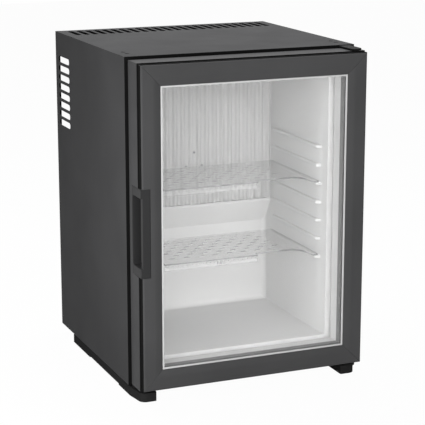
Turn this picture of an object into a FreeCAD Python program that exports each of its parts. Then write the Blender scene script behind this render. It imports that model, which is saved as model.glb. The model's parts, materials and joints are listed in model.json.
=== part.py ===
import FreeCAD, Part
import math
import os

V = FreeCAD.Vector

# Frame: X to the right, Y to the back, Z up, millimetres.
# The origin lies on the floor under the middle of the fridge.

# Overall sizes
overall_width = 400.0
cabinet_depth = 362.0
cabinet_height = 536.0
foot_height = 18.0
door_thickness = 52.0
gasket_gap = 6.0

# Fits and cuts
fit = 0.1
bush_clearance = 0.05
pin_clearance = 0.05
overrun = 1.0
edge_tolerance = 0.01

# Sides of tubes and other small round bars
round_sides = 8

# Steel panels
steel_sheet = 0.8
front_flange = 34.0
rear_flange = 8.0
fold_depth = 12.0

# Side vents
vent_count = 8
vent_pitch = 15.9
vent_height = 10.6
vent_length = 60.0
vent_corner = 3.0
vent_rear_margin = 16.0
vent_top_margin = 46.3

# Top grille
grille_count = 24
grille_pitch = 15.5
grille_width = 9.5
grille_length = 56.0
grille_corner = 2.6
grille_rear_margin = 15.0

# Plugged holes in the top, over the hinge bolts and in the other corner
plug_slot_length = 8.0
plug_slot_width = 7.5
plug_slot_corner = 2.3
plug_sink = 0.3

# Insulated walls
side_wall = 50.0
ceiling_wall = 38.0
floor_wall = 43.0
inside_depth = 239.5
back_insulation = 33.0
liner_sheet = 2.0
liner_lip_overlap = 10.0
liner_corner = 9.0
bulkhead_corner = 1.5
mouth_step = 4.0
mouth_length = 16.5
mouth_chamfer = 21.5
bulkhead_depth = 22.5
bulkhead_low = 149.0
bulkhead_high = 189.0

# Shelf ledges
ledge_count = 7
ledge_pitch = 31.6
ledge_first = 132.0
ledge_height = 6.0
ledge_depth = 5.0
ledge_front = 20.0
ledge_length = 180.0
ledge_nose = 6.0

# Cooling cover
cover_low = 195.0
cover_top_gap = 16.0
cover_side_gap = 2.0
cover_sheet = 1.6
flute_count = 20
flute_depth = 3.4
flute_land = 5.0
flute_crest = 3.6
cover_screw_height = 94.0
cover_screw_drop = 25.0
cover_screw_spread = 15.0
cover_screw_radius = 2.4
cover_screw_head = 1.4

# Shelves
shelf_sheet = 3.0
shelf_side_gap = 1.5
shelf_back_gap = 4.5
shelf_reach = 156.0
shelf_set_back = 12.0
shelf_arm = 189.0
shelf_arm_tip = 8.5
shelf_arm_root = 26.0
shelf_bow_shares = (0.62, 0.36)
shelf_lip_left = 115.0
shelf_lip_right = 52.0
shelf_lip_drop = 12.0
shelf_hole_columns = 7
shelf_hole_rows = 4
shelf_hole_pitch = 37.0
shelf_row_pitch = 31.0
shelf_hole_length = 12.0
shelf_hole_width = 3.0
shelf_hole_margin = 16.0
lower_shelf_step_count = 0
upper_shelf_step_count = 4

# Foot rails
rail_side_gap = 2.0
rail_width = 32.0
rail_arm_gap = 0.2
rail_front_reach = 41.0
rail_length = 340.0
rail_taper = 6.0
rail_corner = 12.0
rail_inner_corner = 3.0
rail_pad_height = 2.0
rail_pad_length = 92.0
rail_front_pad_length = 96.0
rail_rib_width = 22.0
rail_lug_setback = 5.0
rail_lug_length = 14.0
rail_lug_height = 2.6
rail_screw_inset = 68.0
rail_screw_span = 150.0
rail_well_depth = 7.0
rail_well_clearance = 0.8

# Hexagonal bolts with square necks
bolt_radius = 3.6
bolt_head = 2.6
neck_radius = 2.8
hinge_bolt_inset = 16.5
hinge_bolt_first = 33.5
hinge_bolt_pitch = 18.5

# Door frames
door_side_gap = 3.5
door_top_gap = 4.5
door_bottom_gap = 3.5
rear_margin = 1.5
face_width = 34.0
face_flat = 20.0
face_slope = 3.2
slope_middle_share = 0.5
slope_sag_share = 0.34
face_edge_radius = 4.0
front_frame_thickness = 10.0
groove_width = 3.0
groove_depth = 4.0
mitre_gap = 0.12

# Glass
pane = 4.0
pane_depth = 5.0
pane_overlap = 9.5
glass_clearance = 0.3
spacer_depth = 14.0
spacer_show = 2.8
bead_width = 3.0
bead_depth = 2.4

# Inner door trim
trim_sheet = 2.5

# Gasket
gasket_outer_inset = 14.5
gasket_width = 14.0
gasket_clearance = 0.3
dart_width = 2.6
dart_length = 5.6
dart_slot_width = 3.0
dart_slot_depth = 6.2
magnet_width = 7.6
magnet_thickness = 2.4
magnet_fit = 0.1
magnet_cover = 0.8

# Finger pull
pull_width = 16.0
pull_low = 190.0
pull_height = 143.0
pull_depth = 39.0
pull_face = 8.5
pull_back = 2.0
pull_bottom_end = 15.0
pull_top_end = 14.5
pull_floor = 2.5
pull_notch = 3.3
pull_pocket_radius = 5.0

# Hinges
pin_inset = 14.5
pin_setback = 20.0
pin_radius = 2.5
pin_engagement = 8.0
bush_radius = 5.0
bush_depth = 9.0
bush_flange_radius = 6.5
bush_flange = 1.0
arm_width = 20.0
arm_sheet = 2.4
arm_root_width = 29.0
arm_root_length = 60.0
lower_arm_sheet = 2.8
collar_radius = 5.0

# Rear brace
brace_depth = 13.0
brace_height = 30.0
brace_sheet = 1.5

# Cooling unit
tube_radius = 7.0
coil_left = 22.0
coil_can_gap = 58.0
coil_top = 82.0
coil_pitch = 42.0
coil_turns = 2
coil_stand_off = 27.0
coil_spread = 43.0
coil_bend = 19.0
coil_drop_inset = 47.0
coil_fall = 7.0
plug_left = 70.0
plug_bracket_gap = 3.0
plug_top = 14.0
plug_height = 100.0
plug_thickness = 9.0
coil_entry_inset = 13.0
vessel_radius = 25.0
vessel_left = 30.0
vessel_can_gap = 54.0
vessel_height = 67.0
can_radius = 31.0
can_right = 80.0
can_low = 44.0
can_height = 268.0
can_stand_off = 42.0
can_lid_radius = 24.0
can_lid_height = 6.0
heater_radius = 5.0
heater_offset = 14.0
heater_tail_length = 12.0
heater_depth = 90.0
condenser_drop = 40.0
condenser_fall = 9.0
condenser_left = 90.0
condenser_radius = 6.0
condenser_bend = 16.0
fin_count = 12
fin_left_gap = 16.0
fin_right_gap = 60.0
fin_sheet = 0.6
fin_width = 50.0
fin_height = 42.0
exchanger_radius = 6.0
jacket_radius = 9.0
jacket_start = 8.0
jacket_length = 38.0
bracket_width = 18.0
bracket_sheet = 1.5
bracket_height = 96.0
bracket_left = 24.0
bracket_coil_inset = 24.0
saddle_length = 18.0
saddle_width = 36.0
can_saddle_height = 180.0
vessel_saddle_inset = 100.0
foot_plate = 2.0
foot_length = 60.0
foot_screw_margin = 3.0

# Control box
box_left = 40.0
box_width = 96.0
box_low = 176.0
box_height = 66.0
box_depth = 40.0
box_wall = 2.0
box_lid = 3.0
gland_radius = 8.0
gland_length = 12.0
gland_bore = 3.8
gland_inset = 22.0

# Places worked out from the sizes above
half_width = overall_width / 2
total_depth = cabinet_depth + gasket_gap + door_thickness
cabinet_rear = total_depth / 2
cabinet_front = cabinet_rear - cabinet_depth
door_back = cabinet_front - gasket_gap
door_face = door_back - door_thickness
cabinet_base = foot_height
cabinet_top = cabinet_base + cabinet_height

inner_half = half_width - side_wall
inner_floor = cabinet_base + floor_wall
inner_ceiling = cabinet_top - ceiling_wall
inner_rear = cabinet_front + inside_depth
bulkhead_face = inner_rear - bulkhead_depth
liner_front = cabinet_front + steel_sheet + fit
foam_front = liner_front + liner_sheet + fit
foam_rear = inner_rear + liner_sheet + back_insulation
foam_half = half_width - 2 * (steel_sheet + fit)
foam_low = cabinet_base + steel_sheet + fit
foam_high = cabinet_top - steel_sheet - fit
bay_front = foam_rear + fit + steel_sheet

rear_half = half_width - door_side_gap
rear_low = cabinet_base + door_bottom_gap
rear_high = cabinet_top - door_top_gap
front_half = rear_half - rear_margin
opening_half = front_half - face_width
opening_low = rear_low + rear_margin + face_width
opening_high = rear_high - rear_margin - face_width
pane_back = pane_depth + 2 * pane + spacer_depth
jamb_start = pane_back + glass_clearance

pin_x = rear_half - pin_inset
pin_y = door_face + pin_setback
arm_top = cabinet_top - steel_sheet - fit
arm_low = arm_top - arm_sheet
lower_arm_low = cabinet_base - lower_arm_sheet
arm_root_out = foam_half - fit
arm_root_in = arm_root_out - arm_root_width
arm_root_rear = cabinet_front + arm_root_length
hinge_bolt_x = half_width - hinge_bolt_inset
rail_top = lower_arm_low - rail_arm_gap

can_x = half_width - can_right
condenser_end = -half_width + condenser_left
vessel_start = -half_width + vessel_left
vessel_end = can_x - can_radius - vessel_can_gap
coil_start = -half_width + coil_left
coil_end = can_x - coil_can_gap
right_bracket = coil_end - bracket_coil_inset
plug_start = -half_width + plug_left
plug_end = right_bracket - plug_bracket_gap


def block(x, y, z):
    return Part.makeBox(x[1] - x[0], y[1] - y[0], z[1] - z[0], V(x[0], y[0], z[0]))


def prism(points, travel):
    return Part.Face(Part.makePolygon(points + points[:1])).extrude(travel)


def plan_prism(points, low, high):
    return prism([V(x, y, low) for x, y in points], V(0, 0, high - low))


def side_prism(points, left, right):
    return prism([V(left, y, z) for y, z in points], V(right - left, 0, 0))


def rod(start, end, radius):
    way = end - start
    return Part.makeCylinder(radius, way.Length, start, way)


def ring_of_points(centre, along, radius, sides):
    """The corners of a regular polygon square to a direction."""
    turn = FreeCAD.Rotation(V(0, 0, 1), along)
    angles = [2 * math.pi * (n + 0.5) / sides for n in range(sides)]
    return [centre + turn.multVec(V(math.cos(a), math.sin(a), 0) * radius) for a in angles]


def bar(start, end, radius, sides):
    """A straight bar with a regular polygon for its section."""
    return prism(ring_of_points(start, end - start, radius, sides), end - start)


def slot(centre, along, across, size, corner, travel):
    """A slot with cut corners: its outline lies in the plane of along and across."""
    length, width = size
    far = along * (length / 2)
    side = across * (width / 2)
    along_cut = along * corner
    across_cut = across * corner
    points = []
    for a, b in ((1, 1), (1, -1), (-1, -1), (-1, 1)):
        corner_point = centre + far * a + side * b
        pair = [corner_point - along_cut * a, corner_point - across_cut * b]
        points += pair if a == b else pair[::-1]
    return prism(points, travel)


def outline(start, steps, place):
    """A wire from a start through line ends, or (middle, end) pairs for arcs."""
    edges = []
    here = place(start)
    for step in steps + [start]:
        if isinstance(step[0], tuple):
            end = place(step[1])
            edges.append(Part.Arc(here, place(step[0]), end).toShape())
        else:
            end = place(step)
            edges.append(Part.makeLine(here, end))
        here = end
    return Part.Wire(edges)


def bent_tube(points, radius, bend):
    """A solid tube along straight runs that tangent arcs join."""
    edges = []
    here = points[0]
    for before, corner, after in zip(points, points[1:], points[2:]):
        to_start = (before - corner).normalize()
        to_end = (after - corner).normalize()
        half_angle = to_start.getAngle(to_end) / 2
        setback = bend / math.tan(half_angle)
        to_middle = (to_start + to_end).normalize()
        reach = bend / math.sin(half_angle) - bend
        first = corner + to_start * setback
        last = corner + to_end * setback
        edges.append(Part.makeLine(here, first))
        edges.append(Part.Arc(first, corner + to_middle * reach, last).toShape())
        here = last
    edges.append(Part.makeLine(here, points[-1]))
    corners = ring_of_points(points[0], points[1] - points[0], radius, round_sides)
    section = Part.makePolygon(corners + corners[:1])
    return Part.Wire(edges).makePipeShell([section], True, False)


def ring(half, low, high, grow, near, far):
    """A rectangular block as wide and high as an opening that grows by a margin."""
    return block((-half - grow, half + grow), (near, far), (low - grow, high + grow))


def door_ring(inner, outer, start, end):
    """A rectangular ring round the door's opening, between two depths."""
    near = door_face + start
    far = door_face + end
    solid = ring(opening_half, opening_low, opening_high, outer, near, far)
    hole = ring(opening_half, opening_low, opening_high, inner, near - overrun, far + overrun)
    return solid.cut(hole)


def flat_centres(count, pitch):
    return [(n - (count - 1) / 2) * pitch for n in range(count)]


def fuse(shapes):
    whole = shapes[0]
    for shape in shapes[1:]:
        whole = whole.fuse(shape)
    return whole.removeSplitter()


def rounded(solid, radius, **place):
    """Round the edges that lie wholly at a place, given as two of X, Y and Z."""
    found = []
    for edge in solid.Edges:
        box = edge.BoundBox
        ends = [(getattr(box, axis + "Min"), getattr(box, axis + "Max")) for axis in place]
        off = [abs(end - value) for pair, value in zip(ends, place.values()) for end in pair]
        if max(off) < edge_tolerance:
            found.append(edge)
    return solid.makeFillet(radius, found)


def bolt(seat, way, neck):
    head = bar(seat - way * bolt_head, seat, bolt_radius, 6)
    return fuse([head, bar(seat, seat + way * neck, neck_radius, 4)])


def bolt_hole(seat, way, neck):
    return bar(seat - way * overrun, seat + way * (neck + overrun), neck_radius + fit, 4)


# Cabinet panels
def side_panel(side):
    outer = side * half_width
    inner = outer - side * steel_sheet
    front_edge = outer - side * front_flange
    rear_edge = outer - side * rear_flange
    points = [
        (outer, cabinet_front),
        (outer, cabinet_rear),
        (rear_edge, cabinet_rear),
        (rear_edge, cabinet_rear - steel_sheet),
        (inner, cabinet_rear - steel_sheet),
        (inner, cabinet_front + steel_sheet),
        (front_edge, cabinet_front + steel_sheet),
        (front_edge, cabinet_front),
    ]
    panel = plan_prism(points, cabinet_base, cabinet_top)
    centre_y = cabinet_rear - vent_rear_margin - vent_length / 2
    for n in range(vent_count):
        z = cabinet_top - vent_top_margin - n * vent_pitch
        start = V(outer + side * overrun, centre_y, z)
        travel = V(-side * (steel_sheet + 2 * overrun), 0, 0)
        size = (vent_length, vent_height)
        panel = panel.cut(slot(start, V(0, 1, 0), V(0, 0, 1), size, vent_corner, travel))
    return panel


def side_panel_right():
    notch = block(
        (pin_x - arm_width / 2 - fit, pin_x + arm_width / 2 + fit),
        (cabinet_front - overrun, cabinet_front + steel_sheet + overrun),
        (arm_low - fit, cabinet_top + overrun),
    )
    return side_panel(1).cut(notch)


def folded_sheet(skin, inward, front_drop, rear):
    """A flat sheet at height skin with its edges folded inward between the side panels."""
    inside = skin + inward * steel_sheet
    half = half_width - steel_sheet - fit
    front = cabinet_front + steel_sheet + fit
    front_half_width = half_width - front_flange - fit
    low, high = sorted((skin, inside))
    plate = block((-half, half), (front, rear), (low, high))
    nose = block((-front_half_width, front_half_width), (cabinet_front, front), (low, high))
    fold_low, fold_high = sorted((skin, skin + inward * front_drop))
    front_fold = block(
        (-front_half_width, front_half_width),
        (cabinet_front, cabinet_front + steel_sheet),
        (fold_low, fold_high),
    )
    edge_low, edge_high = sorted((skin, skin + inward * fold_depth))
    side_folds = [
        block(sorted((s * half, s * (half - steel_sheet))), (front, rear), (edge_low, edge_high))
        for s in (-1, 1)
    ]
    rear_fold = block((-half, half), (rear - steel_sheet, rear), (edge_low, edge_high))
    return fuse([plate, nose, front_fold, rear_fold] + side_folds)


def hinge_bolt_places(z):
    first = cabinet_front + hinge_bolt_first
    return [V(hinge_bolt_x, first + n * hinge_bolt_pitch, z) for n in range(2)]


def plug_shapes(low, high, clearance):
    """Plugs over the hinge bolts, and the same on the side without a hinge."""
    size = (plug_slot_length - 2 * clearance, plug_slot_width - 2 * clearance)
    rise = V(0, 0, high - low)
    shapes = []
    for place in hinge_bolt_places(low):
        for side in (-1, 1):
            start = V(side * place.x, place.y, low)
            shapes.append(slot(start, V(0, 1, 0), V(1, 0, 0), size, plug_slot_corner, rise))
    return shapes


def slot_plugs():
    return Part.makeCompound(plug_shapes(foam_high, cabinet_top - plug_sink, fit))


def top_panel():
    rear = cabinet_rear - steel_sheet - fit
    panel = folded_sheet(cabinet_top, -1, front_flange, rear)
    centre_y = cabinet_rear - grille_rear_margin - grille_length / 2
    for x in flat_centres(grille_count, grille_pitch):
        start = V(x, centre_y, cabinet_top + overrun)
        travel = V(0, 0, -steel_sheet - 2 * overrun)
        size = (grille_length, grille_width)
        panel = panel.cut(slot(start, V(0, 1, 0), V(1, 0, 0), size, grille_corner, travel))
    low = cabinet_top - steel_sheet - overrun
    for hole in plug_shapes(low, cabinet_top + overrun, 0):
        panel = panel.cut(hole)
    return panel


def base_pan():
    pan = folded_sheet(cabinet_base, 1, front_flange, bay_front + fit + steel_sheet)
    for place in hinge_bolt_places(cabinet_base) + rail_screw_places(cabinet_base):
        pan = pan.cut(bolt_hole(place, V(0, 0, 1), steel_sheet))
    return pan


def rear_panel():
    return block((-foam_half, foam_half), (foam_rear + fit, bay_front), (foam_low, foam_high))


def rear_brace():
    half = half_width - steel_sheet - fit
    rear = cabinet_rear - steel_sheet - fit
    front = rear - brace_depth
    high = cabinet_base + brace_height
    flat = block((-half, half), (front, rear), (cabinet_base, cabinet_base + brace_sheet))
    upright = block((-half, half), (front, front + brace_sheet), (cabinet_base, high))
    return fuse([flat, upright])


# Insulation and liner
def cavity_plan(grow, front, rear, corner):
    """The inside seen from above, with its wider mouth and rounded back corners."""
    half = inner_half + grow
    mouth = half + mouth_step
    mouth_end = cabinet_front + mouth_length
    right = [(mouth, front), (mouth, mouth_end), (half, mouth_end + mouth_chamfer), (half, rear)]
    left = [(-x, y) for x, y in reversed(right)]
    solid = plan_prism(right + left, inner_floor - grow, inner_ceiling + grow)
    for side in (-1, 1):
        solid = rounded(solid, corner + grow, X=side * half, Y=rear)
    return solid


def cavity(grow, front):
    """The inside of the fridge, grown outwards by a margin."""
    reach = inner_half + mouth_step + grow + overrun
    rear = inner_rear + grow
    face = bulkhead_face + grow
    floor = inner_floor - grow
    profile = [
        (front, floor),
        (rear, floor),
        (rear, inner_floor + bulkhead_low),
        (face, inner_floor + bulkhead_high),
        (front, inner_floor + bulkhead_high),
    ]
    below = rounded(side_prism(profile, -reach, reach), liner_corner + grow, Y=rear, Z=floor)
    deep = cavity_plan(grow, front, rear, liner_corner).common(below)
    shallow = cavity_plan(grow, front, face, bulkhead_corner)
    return fuse([deep, shallow])


def ledge_centre(level):
    return inner_floor + ledge_first + level * ledge_pitch


def ledge(side, level):
    """A rib that follows the wall out into the mouth and ends in a slanted nose."""
    front = cabinet_front + ledge_front
    rear = front + ledge_length
    slope_end = cabinet_front + mouth_length + mouth_chamfer
    root = inner_half + liner_sheet / 2
    nose_root = root + mouth_step * (slope_end - front) / mouth_chamfer
    face = inner_half - ledge_depth
    points = [
        (root, rear),
        (root, slope_end),
        (nose_root, front),
        (face, front + ledge_nose),
        (face, rear),
    ]
    z = ledge_centre(level)
    plan = [(side * x, y) for x, y in points]
    return plan_prism(plan, z - ledge_height / 2, z + ledge_height / 2)


def inner_liner():
    lip_x = half_width - front_flange + liner_lip_overlap
    lip_low = cabinet_base + front_flange - liner_lip_overlap
    lip_high = cabinet_top - front_flange + liner_lip_overlap
    lip = block((-lip_x, lip_x), (liner_front, liner_front + liner_sheet), (lip_low, lip_high))
    shell = fuse([cavity(liner_sheet, liner_front), lip]).cut(cavity(0, liner_front - overrun))
    ledges = [ledge(side, level) for side in (-1, 1) for level in range(ledge_count)]
    return fuse([shell] + ledges)


def insulation_foam():
    solid = block((-foam_half, foam_half), (foam_front, foam_rear), (foam_low, foam_high))
    solid = solid.cut(cavity(liner_sheet + fit, foam_front - overrun))
    pocket = block(
        (arm_root_in - fit, foam_half + overrun),
        (foam_front - overrun, arm_root_rear + fit),
        (arm_low - bolt_head - fit, foam_high + overrun),
    )
    return solid.cut(pocket)


# Cooling cover
def cooling_cover():
    half = inner_half - cover_side_gap
    back = bulkhead_face - fit
    pitch = 2 * half / flute_count
    rise = (pitch - flute_land - flute_crest) / 2
    front = [(-half, back - cover_sheet)]
    rear = [(-half, back)]
    for n in range(flute_count):
        x = -half + n * pitch
        starts = (x + flute_land, x + flute_land + rise)
        ends = (starts[1] + flute_crest, starts[1] + flute_crest + rise)
        crest = back - flute_depth
        rear += [(starts[0], back), (starts[1], crest), (ends[0], crest), (ends[1], back)]
        front += [(px, py - cover_sheet) for px, py in rear[-4:]]
    return plan_prism(front + rear[::-1], inner_floor + cover_low, inner_ceiling - cover_top_gap)


def cover_screws():
    base_z = inner_floor + cover_low + cover_screw_height
    face = bulkhead_face - fit - cover_sheet - flute_depth - fit
    places = [(0, 0), (-cover_screw_spread, cover_screw_drop), (cover_screw_spread, cover_screw_drop)]
    heads = []
    for x, drop in places:
        start = V(x, face, base_z - drop)
        end = start - V(0, cover_screw_head, 0)
        heads.append(bar(start, end, cover_screw_radius, round_sides))
    return Part.makeCompound(heads)


# Shelves
def shelf_outline(half, rear):
    front = rear - shelf_reach
    edge = front + shelf_set_back
    tip = rear - shelf_arm
    root = half - shelf_arm_root
    tip_x = half - shelf_arm_tip
    across, along = shelf_bow_shares
    bow = (root + (tip_x - root) * across, edge + (tip - edge) * along)
    steps = [
        (shelf_lip_right, edge),
        (root, edge),
        (bow, (tip_x, tip)),
        (half, tip),
        (half, rear),
        (-half, rear),
        (-half, tip),
        (-tip_x, tip),
        ((-bow[0], bow[1]), (-root, edge)),
        (-shelf_lip_left, edge),
        (-shelf_lip_left, front),
    ]
    return (shelf_lip_right, front), steps


def shelf(level):
    half = inner_half - shelf_side_gap
    rear = bulkhead_face - shelf_back_gap - flute_depth
    low = ledge_centre(level) + ledge_height / 2
    start, steps = shelf_outline(half, rear)
    face = Part.Face(outline(start, steps, lambda p: V(p[0], p[1], low)))
    plate = face.extrude(V(0, 0, shelf_sheet))
    front = rear - shelf_reach
    lip = block(
        (-shelf_lip_left, shelf_lip_right),
        (front, front + shelf_sheet),
        (low + shelf_sheet - shelf_lip_drop, low + shelf_sheet),
    )
    solid = fuse([plate, lip])
    for row in range(shelf_hole_rows):
        y = rear - shelf_hole_margin - row * shelf_row_pitch
        shift = (row % 2) * shelf_hole_pitch / 2
        count = shelf_hole_columns - row % 2
        for x in flat_centres(count, shelf_hole_pitch):
            hole = block(
                (x - shelf_hole_length / 2, x + shelf_hole_length / 2),
                (y - shelf_hole_width / 2, y + shelf_hole_width / 2),
                (low - overrun, low + shelf_sheet + overrun),
            )
            solid = solid.cut(hole)
    return solid


# Foot rails
def foot_rail(side):
    outer = side * (half_width - rail_side_gap)
    inner = outer - side * rail_width
    front = cabinet_front - rail_front_reach
    rear = front + rail_length
    front_outer = outer - side * rail_taper
    points = [(inner, rear), (outer, rear), (outer, cabinet_front), (front_outer, front), (inner, front)]
    rail = plan_prism(points, 0, rail_top)
    rail = rounded(rail, rail_corner, X=front_outer, Y=front)
    rail = rounded(rail, rail_inner_corner, X=inner, Y=front)
    middle = (inner + outer) / 2
    rib_x = (middle - rail_rib_width / 2, middle + rail_rib_width / 2)
    rail = rail.fuse(block(rib_x, (arm_root_rear + fit, foam_rear), (rail_top, cabinet_base)))
    if side < 0:
        lug_rear = cabinet_front + rail_lug_setback
        lug_z = (rail_top, rail_top + rail_lug_height)
        rail = rail.fuse(block(rib_x, (lug_rear - rail_lug_length, lug_rear), lug_z))
    relief = block(
        sorted((inner - side * overrun, outer + side * overrun)),
        (front + rail_front_pad_length, rear - rail_pad_length),
        (-overrun, rail_pad_height),
    )
    rail = rail.cut(relief).cut(bolt_relief(side))
    up = V(0, 0, 1)
    for seat in rail_screw_places(rail_well_depth):
        well_radius = bolt_radius + rail_well_clearance
        rail = rail.cut(bar(seat - up * (rail_well_depth + overrun), seat, well_radius, 6))
        rail = rail.cut(bolt_hole(seat, up, cabinet_base - rail_well_depth))
    return rail.removeSplitter()


def bolt_relief(side):
    """The hollow in a rail's top that the heads of the hinge bolts hang into."""
    margin = bolt_radius + rail_well_clearance
    first, last = hinge_bolt_places(lower_arm_low - bolt_head - fit)
    x = side * first.x
    return block(
        (x - margin, x + margin),
        (first.y - margin, last.y + margin),
        (first.z, rail_top + overrun),
    )


def rail_screw_places(z):
    x = half_width - rail_side_gap - rail_width / 2
    first = cabinet_front + rail_screw_inset
    return [V(side * x, first + n * rail_screw_span, z) for side in (-1, 1) for n in range(2)]


def rail_screws():
    neck = cabinet_base + steel_sheet - rail_well_depth
    return Part.makeCompound([
        bolt(seat, V(0, 0, 1), neck) for seat in rail_screw_places(rail_well_depth)
    ])


# Door frames
def frame_sides(half, low, high):
    return {
        "left": (V(-half, 0, low), V(-half, 0, high), V(1, 0, 0)),
        "right": (V(half, 0, high), V(half, 0, low), V(-1, 0, 0)),
        "top": (V(-half, 0, high), V(half, 0, high), V(0, 0, -1)),
        "bottom": (V(half, 0, low), V(-half, 0, low), V(0, 0, 1)),
    }


def frame_member(side, half, low, high, start, steps, reach):
    """One straight member with mitred ends; its section is in inset and depth."""
    first, last, inward = frame_sides(half, low, high)[side]
    way = (last - first).normalize()

    def place(point):
        return first + inward * point[0] + V(0, door_face + point[1], 0)

    length = Part.Face(outline(start, steps, place)).extrude(last - first)
    near = V(0, door_face - overrun, 0)
    corners = [
        first + way * mitre_gap,
        last - way * mitre_gap,
        last - way * (reach + mitre_gap) + inward * reach,
        first + way * (reach + mitre_gap) + inward * reach,
    ]
    depth = door_thickness + 2 * overrun
    wedge = prism([corner + near for corner in corners], V(0, depth, 0))
    return length.common(wedge)


def front_member(side):
    bevel = face_edge_radius
    diagonal = bevel * (1 - math.sqrt(0.5))
    rebate = face_width - pane_overlap - glass_clearance
    slope_x = face_flat + (face_width - face_flat) * slope_middle_share
    start = (0, front_frame_thickness)
    steps = [
        (0, bevel),
        ((diagonal, diagonal), (bevel, 0)),
        (face_flat, 0),
        ((slope_x, face_slope * slope_sag_share), (face_width, face_slope)),
        (face_width, pane_depth),
        (rebate, pane_depth),
        (rebate, front_frame_thickness),
    ]
    low = rear_low + rear_margin
    high = rear_high - rear_margin
    member = frame_member(side, front_half, low, high, start, steps, face_width)
    return member.cut(pull_space()) if side == "left" else member


def rear_member(side):
    groove_end = front_frame_thickness + groove_width
    seat = door_thickness - trim_sheet
    reach = rear_margin + face_width
    glass_edge = reach - pane_overlap - glass_clearance
    jamb = reach - trim_sheet - fit
    dart = gasket_outer_inset + gasket_width / 2
    dart_end = door_thickness - dart_slot_depth
    start = (0, groove_end)
    steps = [
        (0, door_thickness),
        (dart - dart_slot_width / 2, door_thickness),
        (dart - dart_slot_width / 2, dart_end),
        (dart + dart_slot_width / 2, dart_end),
        (dart + dart_slot_width / 2, seat),
        (jamb, seat),
        (jamb, jamb_start),
        (glass_edge, jamb_start),
        (glass_edge, front_frame_thickness),
        (groove_depth, front_frame_thickness),
        (groove_depth, groove_end),
    ]
    member = frame_member(side, rear_half, rear_low, rear_high, start, steps, reach)
    if side == "left":
        member = member.cut(pull_space())
    if side in ("top", "right"):
        bore_end = V(pin_x, pin_y, rear_high - bush_depth)
        mouth = V(pin_x, pin_y, rear_high + overrun)
        member = member.cut(rod(bore_end, mouth, bush_radius + bush_clearance))
    if side in ("bottom", "right"):
        bore_end = V(pin_x, pin_y, rear_low + bush_depth)
        mouth = V(pin_x, pin_y, rear_low - overrun)
        member = member.cut(rod(bore_end, mouth, bush_radius + bush_clearance))
    return member


def inner_door_trim():
    """The light lining of the opening, with a flange that ends at the gasket's slot."""
    jamb = door_ring(0, trim_sheet, jamb_start, door_thickness)
    flange_edge = gasket_grow(dart_slot_width / 2)[0]
    flange = door_ring(0, flange_edge, door_thickness - trim_sheet, door_thickness)
    return fuse([jamb, flange])


# Glass
def glass_pane(depth):
    near = door_face + depth
    return ring(opening_half, opening_low, opening_high, pane_overlap, near, near + pane)


def glass_spacer():
    start = pane_depth + pane
    return door_ring(-spacer_show, pane_overlap, start, start + spacer_depth)


def glazing_bead():
    return door_ring(-bead_width, -fit, pane_depth - bead_depth, pane_depth)


# Gasket
def gasket_grow(half):
    centre = rear_margin + face_width - gasket_outer_inset - gasket_width / 2
    return centre - half, centre + half


def door_gasket():
    end = door_thickness + gasket_gap - gasket_clearance
    inner, outer = gasket_grow(gasket_width / 2)
    pad = door_ring(inner, outer, door_thickness, end)
    inner, outer = gasket_grow(dart_width / 2)
    dart = door_ring(inner, outer, door_thickness - dart_length, door_thickness)
    inner, outer = gasket_grow(magnet_width / 2 + magnet_fit)
    pocket_end = end - magnet_cover
    pocket = door_ring(inner, outer, pocket_end - magnet_thickness - 2 * magnet_fit, pocket_end)
    return fuse([pad, dart]).cut(pocket)


def magnet_strips():
    end = door_thickness + gasket_gap - gasket_clearance - magnet_cover - magnet_fit
    depth = (door_face + end - magnet_thickness, door_face + end)
    inner, outer = gasket_grow(magnet_width / 2)
    strips = []
    for side in (-1, 1):
        x = sorted((side * (opening_half + inner), side * (opening_half + outer)))
        strips.append(block(x, depth, (opening_low - outer, opening_high + outer)))
    across = (-opening_half - inner + fit, opening_half + inner - fit)
    strips.append(block(across, depth, (opening_low - outer, opening_low - inner)))
    strips.append(block(across, depth, (opening_high + inner, opening_high + outer)))
    return Part.makeCompound(strips)


# Finger pull
def pull_space():
    return block(
        (-rear_half - overrun, -rear_half + pull_width + fit),
        (door_face - overrun, door_face + pull_depth + fit),
        (rear_low + pull_low - fit, rear_low + pull_low + pull_height + fit),
    )


def finger_pull():
    """A lining for the fingers, whose hollow runs out through the corner of the face."""
    low = rear_low + pull_low
    body = block(
        (-rear_half, -rear_half + pull_width),
        (door_face, door_face + pull_depth),
        (low, low + pull_height),
    )
    outside = -rear_half - overrun
    pocket_front = door_face + pull_face
    pocket_rear = door_face + pull_depth - pull_back
    pocket_z = (low + pull_bottom_end, low + pull_height - pull_top_end)
    pocket_end = -rear_half + pull_width - pull_floor
    pocket = block((outside, pocket_end), (pocket_front, pocket_rear), pocket_z)
    for z in pocket_z:
        pocket = rounded(pocket, pull_pocket_radius, Y=pocket_rear, Z=z)
    notch_y = (door_face - overrun, pocket_front + overrun)
    notch = block((outside, -rear_half + pull_notch), notch_y, pocket_z)
    return body.cut(pocket).cut(notch)


# Hinges
def arm_plate(low, high):
    front = cabinet_front + steel_sheet + fit
    half = arm_width / 2
    start = (arm_root_in, arm_root_rear)
    steps = [
        (arm_root_out, arm_root_rear),
        (arm_root_out, front),
        (pin_x + half, front),
        (pin_x + half, pin_y),
        ((pin_x, pin_y - half), (pin_x - half, pin_y)),
        (pin_x - half, front),
        (arm_root_in, front),
    ]
    face = Part.Face(outline(start, steps, lambda p: V(p[0], p[1], low)))
    return face.extrude(V(0, 0, high - low))


def upper_hinge():
    plate = arm_plate(arm_low, arm_top)
    for place in hinge_bolt_places(arm_low):
        plate = plate.cut(bolt_hole(place, V(0, 0, 1), arm_sheet))
    pin = rod(V(pin_x, pin_y, arm_low), V(pin_x, pin_y, rear_high - pin_engagement), pin_radius)
    return fuse([plate, pin])


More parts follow.
